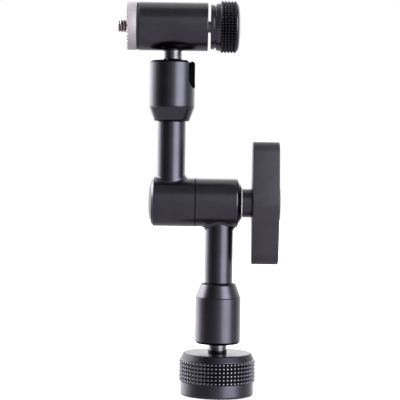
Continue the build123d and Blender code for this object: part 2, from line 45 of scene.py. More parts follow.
# Everything below is worked out in millimetres and scaled once, when a mesh is made.
toMetres = 0.001
perMetre = 1000  # a pattern's scale counts its repeats in a metre
fit = 0.02  # left between the radii of two surfaces that touch
layout = {
    "ballHeight": 32.35,  # from the ground to the lower ball's centre
    "armLength": 57.6,  # from a ball's centre to the elbow's axis
    "armSpacing": 22.9,  # between the axes of the two arms
    "headRise": 24.3,  # from the upper ball's centre to the barrel's axis
}
elbowHeight = layout["ballHeight"] + layout["armLength"]
upperX = -layout["armSpacing"]
upperBallHeight = elbowHeight + layout["armLength"]
headHeight = upperBallHeight + layout["headRise"]
jointX = upperX / 2  # where the two halves of the elbow meet


def linearColour(hexColour):
    # sRGB to linear: the usual curve, straight near black and a power of 2.4 above
    c = np.array([int(hexColour[i:i + 2], 16) for i in (1, 3, 5)]) / 255
    return (*np.where(c <= 0.04045, c / 12.92, ((c + 0.055) / 1.055) ** 2.4).tolist(), 1.0)


def addNode(tree, kind, settings=None, **links):
    # one node with its settings, and links given as inputName=socket
    node = tree.nodes.new(kind)
    for key, value in (settings or {}).items():
        if isinstance(key, int) or key in node.inputs:
            node.inputs[key].default_value = value
        else:
            setattr(node, key, value)
    for name, socket in links.items():
        tree.links.new(socket, node.inputs[int(name[2:]) if name.startswith("in") else name])
    return node


def makeFinish(name, look):
    # A surface finish: two close colours mixed by a soft cloud, roughness that wanders with it,
    # and a bump of fine grain, stretched along "grain" so that it can also be turning lines.
    material = bpy.data.materials.new(name)
    material.use_nodes = True
    tree = material.node_tree
    tree.nodes.clear()
    place = addNode(tree, "ShaderNodeTexCoord").outputs["Object"]
    cloud = addNode(
        tree, "ShaderNodeTexNoise", {"Scale": perMetre / look["cloudSize"], "Detail": 3.0}, Vector=place
    )
    stretch = addNode(tree, "ShaderNodeMapping", {"Scale": look.get("grain", (1, 1, 1))}, Vector=place)
    grain = addNode(
        tree, "ShaderNodeTexNoise", {"Scale": perMetre / look["grainSize"], "Detail": 2.0},
        Vector=stretch.outputs[0],
    )
    tone = addNode(tree, "ShaderNodeValToRGB", None, Fac=cloud.outputs["Fac"])
    for stop, colour, at in zip(tone.color_ramp.elements, look["colours"], (0.35, 0.65)):
        stop.color = linearColour(colour)
        stop.position = at
    low, high = look["roughness"]
    rough = addNode(
        tree, "ShaderNodeMapRange", {"From Min": 0.3, "From Max": 0.7, "To Min": low, "To Max": high},
        Value=grain.outputs["Fac"],
    )
    bump = addNode(
        tree, "ShaderNodeBump", {"Strength": look["bump"], "Distance": look["bumpDepth"] * toMetres},
        Height=grain.outputs["Fac"],
    )
    shader = addNode(tree, "ShaderNodeBsdfPrincipled", {"Metallic": look["metallic"]})
    if not look["metallic"]:
        shader.inputs["IOR"].default_value = look["ior"]
    tree.links.new(tone.outputs["Color"], shader.inputs["Base Color"])
    tree.links.new(rough.outputs["Result"], shader.inputs["Roughness"])
    tree.links.new(bump.outputs["Normal"], shader.inputs["Normal"])
    out = addNode(tree, "ShaderNodeOutputMaterial")
    tree.links.new(shader.outputs["BSDF"], out.inputs["Surface"])
    return material


# Sizes are in millimetres. Where the real grain is finer than a pixel, it is drawn as coarse as it
# needs to be to break up the gloss.
finishes = {
    # anodised aluminium, blasted and dyed black: dark satin with broad soft highlights
    "blackAnodisedAluminium": {
        "metallic": 1.0, "colours": ("#434148", "#48464d"), "roughness": (0.23, 0.28),
        "cloudSize": 9.0, "grainSize": 0.16, "bump": 0.10, "bumpDepth": 0.02,
    },
    # the same finish made darker and duller, as painted shade: insides, slots, recesses and grooves where
    # shade falls
    "blackAnodisedBore": {
        "metallic": 1.0, "colours": ("#1a191c", "#201f23"), "roughness": (0.45, 0.55),
        "cloudSize": 4.0, "grainSize": 0.3, "bump": 0.2, "bumpDepth": 0.02,
    },
    # the same finish a little darker and duller, as painted shade: bevels, shoulders and bands that fall dark
    # beside bright ones
    "blackAnodisedCut": {
        "metallic": 1.0, "colours": ("#2d2b31", "#323036"), "roughness": (0.4, 0.48),
        "cloudSize": 6.0, "grainSize": 0.25, "bump": 0.2, "bumpDepth": 0.02,
    },
    # the same finish much paler, as painted highlight: small bright flats on the knurl's tips
    "burnishedTips": {
        "metallic": 1.0, "colours": ("#94919c", "#a29fab"), "roughness": (0.22, 0.28),
        "cloudSize": 9.0, "grainSize": 0.2, "bump": 0.05, "bumpDepth": 0.01,
    },
    # nylon with glass fibre, moulded: matt charcoal with a fine spark-eroded texture
    "mouldedNylon": {
        "metallic": 0.0, "ior": 1.5, "colours": ("#1e1823", "#241d29"), "roughness": (0.46, 0.58),
        "cloudSize": 7.0, "grainSize": 0.3, "bump": 0.35, "bumpDepth": 0.05,
    },
    # steel, turned and blackened: darker than bare steel, with fine rings left by the tool
    # the ball stems are of it; on the thread roots and the screw's shank it is painted shade
    "blackenedSteel": {
        "metallic": 1.0, "colours": ("#5a595d", "#666569"), "roughness": (0.15, 0.2),
        "cloudSize": 5.0, "grainSize": 6.0, "grain": (1, 1, 40), "bump": 0.12, "bumpDepth": 0.02,
    },
    # steel with a brown oil finish, thread rolled: warm dark metal with bright crests
    "brownedSteel": {
        "metallic": 1.0, "colours": ("#a89a96", "#bdb1ad"), "roughness": (0.14, 0.22),
        "cloudSize": 2.0, "grainSize": 6.0, "grain": (40, 1, 1), "bump": 0.1, "bumpDepth": 0.02,
    },
    # steel, turned and left bright: pale with fine rings
    "turnedSteel": {
        "metallic": 1.0, "colours": ("#c4c4c6", "#cfcfd1"), "roughness": (0.2, 0.3),
        "cloudSize": 5.0, "grainSize": 6.0, "grain": (40, 1, 1), "bump": 0.12, "bumpDepth": 0.02,
    },
    # aluminium, clear anodised: pale grey with a touch of pink, satin
    "clearAnodisedAluminium": {
        "metallic": 1.0, "colours": ("#c3b9bf", "#cbc2c7"), "roughness": (0.74, 0.82),
        "cloudSize": 4.0, "grainSize": 0.2, "bump": 0.08, "bumpDepth": 0.02,
    },
    # nitrile rubber, moulded: dull black
    "nitrileRubber": {
        "metallic": 0.0, "ior": 1.52, "colours": ("#101012", "#18181a"), "roughness": (0.6, 0.75),
        "cloudSize": 3.0, "grainSize": 0.25, "bump": 0.2, "bumpDepth": 0.03,
    },
    # acetal, turned: milky white with a waxy surface
    "acetal": {
        "metallic": 0.0, "ior": 1.48, "colours": ("#e9e7df", "#f0eee7"), "roughness": (0.3, 0.4),
        "cloudSize": 5.0, "grainSize": 6.0, "grain": (1, 1, 40), "bump": 0.1, "bumpDepth": 0.02,
    },
    # brass, turned: yellow with fine rings
    "turnedBrass": {
        "metallic": 1.0, "colours": ("#c9a865", "#d4b473"), "roughness": (0.22, 0.32),
        "cloudSize": 5.0, "grainSize": 6.0, "grain": (40, 1, 1), "bump": 0.12, "bumpDepth": 0.02,
    },
}
material = {name: makeFinish(name, look) for name, look in finishes.items()}
slotFinish = {
    "black_anodised": "blackAnodisedAluminium",
    "handle_plastic": "mouldedNylon",
    "dark_steel": "blackenedSteel",
    "stud_steel": "brownedSteel",
    "plain_steel": "turnedSteel",
    "grey_aluminium": "clearAnodisedAluminium",
    "gasket_rubber": "nitrileRubber",
    "seat_plastic": "acetal",
    "nut_brass": "turnedBrass",
}
for part in frame["record"]["subparts"]:
    for holder in frame["nodes"][part["node"]].material_slots:
        holder.material = material[slotFinish[part["material_slot"]]]
print("materials made:", len(material))


def rounded(corners, steps=5):
    # A profile of (radius, height, corner radius): each corner becomes an arc tangent to both of its
    # sides, with one more point on each side just before the arc, so that flat sides shade flat.
    outline = []
    last = len(corners) - 1
    for index, (radius, height, bend) in enumerate(corners):
        here = np.array((radius, height), float)
        if bend == 0 or index in (0, last):
            outline.append(here)
            continue
        before = np.array(corners[index - 1][:2], float) - here
        after = np.array(corners[index + 1][:2], float) - here
        lengthBefore, lengthAfter = np.hypot(*before), np.hypot(*after)
        before, after = before / lengthBefore, after / lengthAfter
        half = np.arccos(np.clip(before @ after, -1, 1)) / 2
        reach = bend / np.tan(half)
        middle = before + after
        centre = here + middle / np.hypot(*middle) * bend / np.sin(half)
        first, second = (here + before * reach - centre) / bend, (here + after * reach - centre) / bend
        turn = np.arccos(np.clip(first @ second, -1, 1))
        share = np.linspace(0, 1, steps + 1)[:, None]
        arc = (np.sin((1 - share) * turn) * first + np.sin(share * turn) * second) / np.sin(turn)
        beside = min(0.35 * bend, 0.06)
        outline.append(here + before * min(reach + beside, (reach + lengthBefore) / 2))
        outline.extend(centre + bend * arc)
        outline.append(here + after * min(reach + beside, (reach + lengthAfter) / 2))
    outline = np.array(outline)
    return outline[:, 0], outline[:, 1]


def gridFaces(rows, columns, closeRows, closeColumns):
    # quads between neighbouring rows and columns of a grid, wrapping round where it is closed
    row = np.arange(rows if closeRows else rows - 1)[:, None]
    column = np.arange(columns if closeColumns else columns - 1)[None, :]
    nextRow, nextColumn = (row + 1) % rows, (column + 1) % columns
    corners = (
        row * columns + column, row * columns + nextColumn,
        nextRow * columns + nextColumn, nextRow * columns + column,
    )
    return np.stack(corners, -1).reshape(-1, 4)


def setOn(axis, centre, up, radius, height, angle):
    # radius and angle round an axis, height along it: for "z" the angle starts at +X, for "x" at +Y
    along, across, beyond = up * height, radius * np.cos(angle), radius * np.sin(angle)
    if axis == "z":
        return np.stack((centre[0] + across, centre[1] + beyond, centre[2] + along), -1)
    return np.stack((centre[0] + along, centre[1] + across, centre[2] + beyond), -1)


def turned(profile, axis, centre, up=1, columns=256, closed=False):
    # A surface of revolution: every profile point goes round the axis. Radius and height may also
    # be whole grids, one column for each angle, which gives teeth, knurls and threads.
    radius, height = (np.asarray(part, float) for part in profile)
    if radius.ndim == 1:
        radius = np.repeat(radius[:, None], columns, 1)
    columns = radius.shape[1]
    if height.ndim == 1:
        height = np.repeat(height[:, None], columns, 1)
    angle = 2 * np.pi * np.arange(columns) / columns
    points = setOn(axis, centre, up, radius, height, angle[None, :])
    return points.reshape(-1, 3), gridFaces(radius.shape[0], columns, closed, True)


def makePiece(name, shells, body, slotName, nodes=(), creaseAngle=40, bevel=None, more=()):
    # Joins the shells into one mesh, welds seams and poles, points the faces outwards, and shades
    # it smooth but for creases. A shell's third part numbers the faces that take a further finish.
    points, faces, marks, count = [], [], [], 0
    for shellPoints, shellFaces, *marked in shells:
        points.append(shellPoints * toMetres)
        faces.extend((shellFaces + count).tolist())
        marks.append(np.zeros(len(shellFaces)) + (marked[0] if marked else 0))
        count += len(shellPoints)
    mesh = bpy.data.meshes.new(name)
    mesh.from_pydata(np.concatenate(points).tolist(), [], faces)
    mesh.polygons.foreach_set("material_index", np.concatenate(marks).astype(np.int32))
    work = bmesh.new()
    work.from_mesh(mesh)
    bmesh.ops.remove_doubles(work, verts=work.verts, dist=2e-7)
    bmesh.ops.recalc_face_normals(work, faces=work.faces)
    work.to_mesh(mesh)
    work.free()
    mesh.shade_smooth()
    mesh.set_sharp_from_angle(angle=radians(creaseAngle))
    mesh.materials.append(material[slotFinish[slotName]])
    for finish in more:
        mesh.materials.append(material[finish])
    piece = bpy.data.objects.new(name, mesh)
    bpy.context.scene.collection.objects.link(piece)
    if bevel:
        soft = piece.modifiers.new("softEdges", "BEVEL")
        soft.width, soft.segments = bevel * toMetres, 2
        soft.limit_method, soft.angle_limit = "ANGLE", radians(creaseAngle)
        soft.harden_normals = True
    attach(piece, body)
    if nodes:
        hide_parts(*nodes)
    print("made", name, len(mesh.polygons), "faces")
    return piece


def knurl(rows, pitch, count, root, height, start, axis, centre, cells=8, steep=1.65):
    # Rows of small blunt pyramids: radius = root + height * the lower of two triangle waves, one
    # along the axis and one round it, made steeper and cut off flat at the top. Each cell is two
    # triangles, with the diagonal along the pyramid's ridge. The flat tops are marked, for a painted
    # highlight.
    skin = 1.0  # the band's thickness below the pyramids, hidden in the body
    rowCount, columnCount = rows * cells + 1, count * cells
    along, around = np.arange(rowCount) / cells, np.arange(columnCount) / cells
    waveAlong = 1 - np.abs(2 * (along % 1) - 1)
    waveRound = 1 - np.abs(2 * (around % 1) - 1)
    field = np.minimum(steep * np.minimum(waveAlong[:, None], waveRound[None, :]), 1)
    radius = root + height * field
    inner = np.full((1, columnCount), root - skin)
    radius = np.concatenate((inner, radius, inner))
    along = start + pitch * np.concatenate(([0], along, [rows]))
    points, quads = turned((radius, along), axis, centre, closed=True)
    row = np.arange(len(quads)) // columnCount - 1
    column = np.arange(len(quads)) % columnCount
    falling = ((row % cells) < cells // 2) == ((column % cells) < cells // 2)
    a, b, c, d = quads.T
    first = np.where(falling[:, None], np.stack((a, b, c), -1), np.stack((a, b, d), -1))
    second = np.where(falling[:, None], np.stack((a, c, d), -1), np.stack((b, c, d), -1))
    top = radius.reshape(-1)[quads].min(1) > root + 0.99 * height
    return points, np.concatenate((first, second)), np.concatenate((top, top))


def helix(crest, root, pitch, start, end, ends, axis, centre, lead=0.0, perTurn=96, perPitch=16):
    # A screw thread: radius follows a blunted triangle wave of height minus pitch * turns, and rows
    # run along the helix, held between the two ends. "ends" closes it beyond each end. "lead" cuts a
    # bevel at the start. The thread's deepest part is marked for painted shade, where the flanks shade it.
    steep, sunk, darkShare = 1.35, 0.12, 0.4
    turns = (end - start) / pitch
    angle = np.arange(perTurn) / perTurn
    rows = np.arange(-perPitch, int(np.ceil(turns * perPitch)) + 1) / perPitch
    height = np.clip(start + pitch * (rows[:, None] + angle[None, :]), start, end)
    phase = (height - start) / pitch - angle[None, :]
    wave = np.clip(steep * (1 - np.abs(2 * (phase % 1) - 1)) - sunk, 0, 1)
    radius = root + (crest - root) * wave
    if lead:
        limit = crest - np.clip(start + lead - height, 0, lead)
        radius = np.minimum(radius, limit)
    before, after = ends
    first = np.repeat(np.array(before, float)[:, :, None], perTurn, 2)
    last = np.repeat(np.array(after, float)[:, :, None], perTurn, 2)
    radius = np.concatenate((first[:, 0], radius, last[:, 0]))
    height = np.concatenate((first[:, 1], height, last[:, 1]))
    points, faces = turned((radius, height), axis, centre)
    threaded = np.zeros_like(radius, bool)
    threaded[len(first):-len(last)] = True
    deep = threaded & (radius < root + darkShare * (crest - root))
    return points, faces, deep.reshape(-1)[faces].all(1)


# The wheel is a turned body and a knurled band. Its shoulder takes painted shade, and the knurl's flat tops a
# painted highlight.
wheel = {
    "radius": 17.1, "height": 19.65, "topRadius": 15.9, "topRound": 0.8, "shoulder": 2.8,
    "shoulderRound": 1.2, "bottomRound": 0.9, "boreRadius": 3.05, "boreDepth": 6.1, "boreRound": 0.15,
    "rows": 6, "pitch": 1.73, "count": 60, "tooth": 0.7, "bandMiddle": 11.5, "columns": 360,
}
insert = {"radius": 5.0, "length": 9.0, "edge": 0.1, "mouth": 3.6, "tapStart": 0.5, "tapDepth": 7.8}
wheelBody = rounded([
    (0, wheel["height"] - wheel["boreDepth"], 0),
    (wheel["boreRadius"], wheel["height"] - wheel["boreDepth"], 0),
    (wheel["boreRadius"], wheel["height"], wheel["boreRound"]),
    (wheel["topRadius"], wheel["height"], wheel["topRound"]),
    (wheel["radius"], wheel["height"] - wheel["shoulder"], wheel["shoulderRound"]),
    (wheel["radius"], 0, wheel["bottomRound"]),
    (insert["radius"] + fit, 0, 0.12),
    (insert["radius"] + fit, insert["length"], 0),
    (0, insert["length"], 0),
], steps=8)
onShoulder = (wheelBody[1] > wheel["height"] - wheel["shoulder"]) & (wheelBody[0] > wheel["topRadius"] - 0.5)
makePiece("baseWheel", [
    turned(wheelBody, "z", (0, 0, 0), columns=wheel["columns"])
    + (np.repeat(onShoulder[:-1] * 2, wheel["columns"]),),
    knurl(
        wheel["rows"], wheel["pitch"], wheel["count"], wheel["radius"] + fit, wheel["tooth"],
        wheel["bandMiddle"] - wheel["rows"] * wheel["pitch"] / 2, "z", (0, 0, 0),
    ),
], "base", "black_anodised", ["base_wheel"], creaseAngle=30, more=("burnishedTips", "blackAnodisedCut"))

cameraThread = {"crest": 3.175, "root": 2.55, "pitch": 1.27}  # 1/4 inch, 20 turns to the inch
insertRim = insert["radius"] - insert["edge"]
# the roots of the tapped thread take the dark steel as painted shade
makePiece("threadedInsert", [helix(
    cameraThread["crest"], cameraThread["root"], cameraThread["pitch"], insert["tapStart"],
    insert["tapDepth"],
    (
        [
            (0, insert["length"]), (insertRim, insert["length"]),
            (insert["radius"], insert["length"] - insert["edge"]), (insert["radius"], insert["edge"]),
            (insertRim, 0.0), (insert["mouth"], 0.0),
        ],
        [(0, insert["tapDepth"])],
    ), "z", (0, 0, 0),
)], "base", "plain_steel", ["base_insert"], creaseAngle=50, more=("blackenedSteel",))

# Each ball stem sits in the wheel or the head with its spigot.
stem = {
    "ball": 7.75, "ballSteps": 72, "neck": 2.9, "neckEnd": 8.3, "neckRound": 0.2,
    "radius": 4.4, "start": 9.0, "startRound": 0.15, "columns": 160,
    "grooves": (10.2, 11.5), "grooveWidth": 0.5, "grooveDepth": 0.25, "grooveRound": 0.06,
    "darkEnd": 1.1, "endRound": 0.12, "spigot": 3.0, "spigotLength": 6.0, "spigotRound": 0.4,
}


def ballStem(name, centre, up, shoulder, body, node):
    # Ball as an arc from its far pole to the neck, then the grooved stem and its spigot. The stem's
    # last part, in the shade of the shoulder that it enters, takes painted shade: a darker, duller finish.
    neckAngle = np.arcsin(stem["neck"] / stem["ball"])
    sweep = np.linspace(0, np.pi - neckAngle, stem["ballSteps"])
    ballRadius, ballHeight = stem["ball"] * np.sin(sweep), -stem["ball"] * np.cos(sweep)
    waist = stem["radius"] - stem["grooveDepth"]
    corners = [
        (stem["neck"], ballHeight[-1], 0), (stem["neck"], stem["neckEnd"], stem["neckRound"]),
        (stem["radius"], stem["start"], stem["startRound"]),
    ]
    for groove in stem["grooves"]:
        after = groove + stem["grooveWidth"]
        corners += [(stem["radius"], groove, stem["grooveRound"]), (waist, groove, 0), (waist, after, 0)]
        corners.append((stem["radius"], after, stem["grooveRound"]))
    end = shoulder + stem["spigotLength"]
    corners += [
        (stem["radius"], shoulder - stem["darkEnd"], 0), (stem["radius"], shoulder, stem["endRound"]),
        (stem["spigot"], shoulder, 0), (stem["spigot"], end, stem["spigotRound"]), (0, end, 0),
    ]
    radius, height = rounded(corners)
    profile = (np.concatenate((ballRadius, radius[1:])), np.concatenate((ballHeight, height[1:])))
    dark = np.repeat(profile[1][1:] > shoulder - 0.2, stem["columns"])
    makePiece(
        name, [turned(profile, "z", centre, up, columns=stem["columns"]) + (dark,)], body, "dark_steel",
        [node], creaseAngle=35, more=("blackAnodisedBore",),
    )


ballStem("lowerBallStem", (0, 0, layout["ballHeight"]), -1, 12.65, "lower_ball", "lower_ball_stem")
ballStem("upperBallStem", (upperX, 0, upperBallHeight), 1, 13.95, "upper_ball", "upper_ball_stem")

# Each socket is a slotted cup for the ball and a tapered collar behind it, which holds the tube.
socket = {
    "radius": 10.65, "back": 13.3, "seamChamfer": 0.24, "rim": 8.2, "rimChamfer": 0.9, "rimRound": 0.35,
    "bore": 7.9, "sphere": 7.8, "lip": 5.4, "mouth": 9.2, "slotWidth": 9.2, "columns": 216, "edge": 0.16,
}
collar = {
    "length": 6.5, "smallRadius": 8.6, "taperShort": 1.0, "endRound": 1.3, "spigotLength": 2.2,
    "recess": 0.6, "recessDepth": 2.2, "columns": 288,
}
tube = {
    "radius": 6.6, "bore": 2.95, "start": 9.0, "grooveShown": 0.5, "grooveLength": 1.2, "grooveDepth": 0.3,
    "columns": 256,
}
collarBack = layout["armLength"] - socket["back"]


def socketCup(name, centre, up, slotAzimuth, body, node):
    # Wall between an outer and an inner profile that share their heights. Each row goes round from
    # one edge of the slot to the other: at a height the edge's angle is arcsin(half width / radius),
    # and the half width closes as a circle at the slot's bottom. Flat ruled faces line the slot. The
    # inside, the lining and the rim's chamfer take painted shade, a darker and duller copy of the finish.
    lipHeight = np.sqrt(socket["sphere"] ** 2 - socket["lip"] ** 2)
    outerRadius, outerHeight = rounded([
        (socket["radius"], -socket["back"], 0),
        (socket["radius"], socket["rim"] - socket["rimChamfer"], socket["rimRound"]),
        (socket["radius"] - socket["rimChamfer"], socket["rim"], 0),
    ])
    halfSlot = socket["slotWidth"] / 2
    bottom = -halfSlot * np.cos(np.linspace(0, np.pi / 2, 22))
    seam = np.array([0, 0.08, 0.16, socket["seamChamfer"], 0.4])
    heights = np.concatenate((
        seam - socket["back"], np.linspace(-11, -halfSlot - 0.4, 4), bottom,
        np.linspace(0.4, lipHeight, 9), outerHeight[outerHeight > lipHeight],
    ))
    heights = np.unique(np.round(heights, 5))
    outer = np.interp(heights, outerHeight, outerRadius)
    seamCut = np.clip(socket["seamChamfer"] - (heights + socket["back"]), 0, 1)
    outer = np.minimum(outer, socket["radius"] - seamCut)
    sphere = np.sqrt(np.clip(socket["sphere"] ** 2 - heights ** 2, 0, None))
    mouth = np.interp(heights, (lipHeight, socket["rim"]), (socket["lip"], socket["mouth"]))
    inner = np.where(heights <= 0, socket["bore"], np.where(heights <= lipHeight, sphere, mouth))
    profileRadius = np.concatenate((outer, inner[::-1]))
    profileHeight = np.concatenate((heights, heights[::-1]))
    halfWidth = np.where(
        profileHeight <= -halfSlot, 0,
        np.where(profileHeight >= 0, halfSlot, np.sqrt(np.clip(halfSlot ** 2 - profileHeight ** 2, 0, None))),
    )
    edge = np.arcsin(halfWidth / profileRadius)
    share = np.linspace(0, 1, socket["columns"] + 1)
    angle = radians(slotAzimuth) + edge[:, None] + share[None, :] * 2 * (np.pi - edge[:, None])
    points = setOn("z", centre, up, profileRadius[:, None], profileHeight[:, None] + 0 * angle, angle)
    rowCount, columnCount = angle.shape
    wall = gridFaces(rowCount, columnCount, True, False)
    wallRow = np.arange(len(wall)) // (columnCount - 1)
    chamfer = heights > socket["rim"] - socket["rimChamfer"] - 0.15
    inside = (wallRow >= len(heights)) & (wallRow < rowCount - 1)
    inside |= np.append(chamfer, inner < 0)[wallRow]
    # slot faces: row k of the outer side meets the row of the same height on the inner side
    low = np.nonzero(heights >= -halfSlot - 1e-6)[0][:-1]
    mirror = rowCount - 1
    ring = np.stack((low, low + 1, mirror - low - 1, mirror - low), -1) * columnCount
    faces = np.concatenate((wall, ring, ring + columnCount - 1))
    marks = np.concatenate((inside, np.ones(len(faces) - len(wall), bool)))
    makePiece(
        name, [(points.reshape(-1, 3), faces, marks)], body, "black_anodised", [node], creaseAngle=38,
        bevel=socket["edge"], more=("blackAnodisedBore",),
    )


def socketCollar(name, x, up, body, node):
    # tapered collar with its spigot and a small recess round the tube; the end face and the recess take
    # painted shade
    bore, back = tube["radius"] + fit, collarBack
    start = back - collar["length"]
    slope = (socket["radius"] - collar["smallRadius"]) / (collar["length"] - collar["taperShort"])
    small = collar["smallRadius"] - slope * collar["taperShort"]
    profile = rounded([
        (bore, start + collar["recessDepth"], 0),
        (bore + collar["recess"], start, 0.06),
        (small, start, collar["endRound"]),
        (socket["radius"], back, 0.2),
        (socket["bore"] - fit, back, 0),
        (socket["bore"] - fit, back + collar["spigotLength"], 0),
        (bore, back + collar["spigotLength"], 0),
    ], steps=8)
    points, faces = turned(profile, "z", (x, 0, elbowHeight), up, columns=collar["columns"], closed=True)
    row = np.arange(len(faces)) // collar["columns"]
    middle = (profile[1] + np.roll(profile[1], -1))[row] / 2
    paintedShade = (row == 0) | (middle < start + 0.4)
    makePiece(
        name, [(points, faces, paintedShade)], body, "black_anodised", [node], creaseAngle=45,
        more=("blackAnodisedBore",),
    )


socketCup("lowerSocketCup", (0, 0, layout["ballHeight"]), -1, 90, "lower_arm", "lower_socket_cup")
socketCup("upperSocketCup", (upperX, 0, upperBallHeight), 1, -18, "upper_arm", "upper_socket_cup")
socketCollar("lowerSocketCollar", 0, -1, "lower_arm", "lower_socket_collar")
socketCollar("upperSocketCollar", upperX, 1, "upper_arm", "upper_socket_collar")

# Each arm is half of the elbow's hub, a tube and the fillet between them: three shells in one piece.
# A bevel is its length along the axis and its depth. The outer "brightShare" of the right bevel keeps
# the arm's finish, and the rest of it, in to a smaller given radius, takes painted shade.
hub = {
    "radius": 11.3, "rightReach": 10.45, "leftReach": 9.95, "fillet": 2.1, "filletSteps": 12,
    "rightBevel": (2.2, 4.3), "rightRound": 0.9, "shadeFrom": 7.4, "brightShare": 0.5, "washer": 0.36,
    "leftBevel": (1.1, 1.2), "leftShoulder": 0.95, "leftRound": 0.4, "straight": 1.5,
    "teeth": 60, "perTooth": 8, "toothHeight": 0.4, "toothGap": 0.02, "toothBand": 0.45,
    "lip": 10.4, "lipReach": 0.4,
    "bore": 4.65, "cap": 6.5, "capThickness": 2.0, "capCrown": 0.5, "capEdge": 0.15, "capEase": 0.04,
}
toothCrest = hub["toothGap"] / 2


def armTube(x, up):
    # straight tube from inside the hub to inside the collar, with a groove where it goes in, in painted shade
    end = collarBack + collar["spigotLength"]
    first = collarBack - collar["length"] - tube["grooveShown"]
    last = first + tube["grooveLength"]
    waist = tube["radius"] - tube["grooveDepth"]
    profile = rounded([
        (tube["bore"], tube["start"], 0), (tube["radius"], tube["start"], 0), (tube["radius"], first, 0),
        (waist, first, 0), (waist, last, 0), (tube["radius"], last, 0),
        (tube["radius"], end, 0.2), (tube["bore"], end, 0),
    ])
    points, faces = turned(profile, "z", (x, 0, elbowHeight), up, columns=tube["columns"], closed=True)
    row = np.arange(len(faces)) // tube["columns"]
    return points, faces, (row > 1) & (row < 5)  # the groove's three rows


def rootFillet(x, up, side, bevelStart, bevelSlope):
    # Rolling ball between tube and hub: its centre stands fillet + tube radius from the tube's axis
    # and fillet + hub radius from the hub's. The arc runs from the contact on the tube to the one
    # on the hub, and two rings inside both solids close it. It is trimmed to the hub's bevel.
    columns, steps, bend = tube["columns"], hub["filletSteps"], hub["fillet"]
    closingRadius, closingHeight = 5.5, 7.5
    angle = 2 * np.pi * np.arange(columns) / columns
    flat = np.stack((np.cos(angle), np.sin(angle), 0 * angle), -1)
    centre = flat * (tube["radius"] + bend)
    centre[:, 2] = np.sqrt((hub["radius"] + bend) ** 2 - centre[:, 1] ** 2)
    toTube = -flat
    toHub = -centre * (0, 1, 1) / (hub["radius"] + bend)
    turn = np.arccos(np.clip((toTube * toHub).sum(1), -1, 1))[None, :, None]
    share = np.linspace(0, 1, steps + 1)[:, None, None]
    arc = (np.sin((1 - share) * turn) * toTube + np.sin(share * turn) * toHub) / np.sin(turn)
    surface = centre[None] + bend * arc
    distance = np.hypot(surface[..., 1], surface[..., 2])
    limit = hub["radius"] + (bevelStart - side * surface[..., 0]) * bevelSlope
    surface[..., 1:] *= (np.minimum(distance, limit) / distance)[..., None]
    innerLow = flat * closingRadius + (0, 0, closingHeight)
    innerHigh = flat * closingRadius + centre * (0, 0, 1)
    rings = np.concatenate((surface, innerLow[None], innerHigh[None]))
    rings = rings * (1, up, up) + (x, 0, elbowHeight)
    return rings.reshape(-1, 3), gridFaces(steps + 3, columns, True, True)


def hubShell(outer, x, way, lipHeight, paintedShade):
    # The hub's body, given from its bore at the outer end to its rim near the joint, ended by a ring
    # of V teeth: the face's height dips by toothHeight times a triangle wave round the rim. Inside
    # the teeth a lip on one side reaches into a recess of the other, so that no light comes through.
    # The last argument gives the radii between which the outer end takes painted shade, and the
    # number of that finish. The faces of the teeth and the lip, in the joint's shade, take painted shade too.
    columns = hub["teeth"] * hub["perTooth"]
    wave = np.abs(2 * ((np.arange(columns) / hub["perTooth"]) % 1) - 1)
    ease = 0.01  # the teeth's outer edge is eased over three of these
    radius, height = rounded(outer)
    radius = np.repeat(radius[:, None], columns, 1)
    height = np.repeat(height[:, None], columns, 1)
    face = toothCrest + hub["toothHeight"] * (1 - wave)
    deep = np.full(columns, toothCrest + hub["toothHeight"])
    lip = hub["lip"] if lipHeight < 0 else hub["lip"] + 0.05
    rim = (
        (hub["radius"], deep + hub["toothBand"]), (hub["radius"], face + 3 * ease),
        (hub["radius"] - 2 * ease, face + ease), (hub["radius"] - 3 * ease, face),
        (lip, face), (lip, lipHeight + 0 * deep), (hub["bore"], lipHeight + 0 * deep),
    )
    rimRadius = np.array([np.full(columns, r) for r, _ in rim])
    rimHeight = np.array([h for _, h in rim])
    grid = (np.concatenate((radius, rimRadius)), np.concatenate((height, rimHeight)))
    points, faces = turned(grid, "x", (x, 0, elbowHeight), way, closed=True)
    row = np.arange(len(faces)) // columns
    middle = (radius[:-1, 0] + radius[1:, 0]) / 2
    shadedBand = np.append((middle > paintedShade[0]) & (middle < paintedShade[1]), np.zeros(len(rim) + 1, bool))[row]
    return points, faces, np.where(row >= len(radius) + 3, 1, np.where(shadedBand, paintedShade[2], 0))


rightEnd = hub["rightReach"] - jointX
leftEnd = jointX - (upperX - hub["leftReach"])
rightLength, rightDepth = hub["rightBevel"]
leftLength, leftDepth = hub["leftBevel"]
rightFace = hub["radius"] - rightDepth  # radius of the flat end inside the right bevel
brightFrom = hub["radius"] - rightDepth * hub["brightShare"]
lowerHub = hubShell([
    (hub["bore"], rightEnd - hub["washer"], 0),
    (rightFace + hub["washer"], rightEnd - hub["washer"], 0.1),
    (brightFrom, rightEnd - rightLength * (1 - hub["brightShare"]), 0),
    (hub["radius"], rightEnd - rightLength, hub["rightRound"]),
    (hub["radius"], rightEnd - rightLength - hub["straight"], 0),
], jointX, 1, hub["lipReach"] + 0.1, (hub["shadeFrom"], brightFrom, 1))
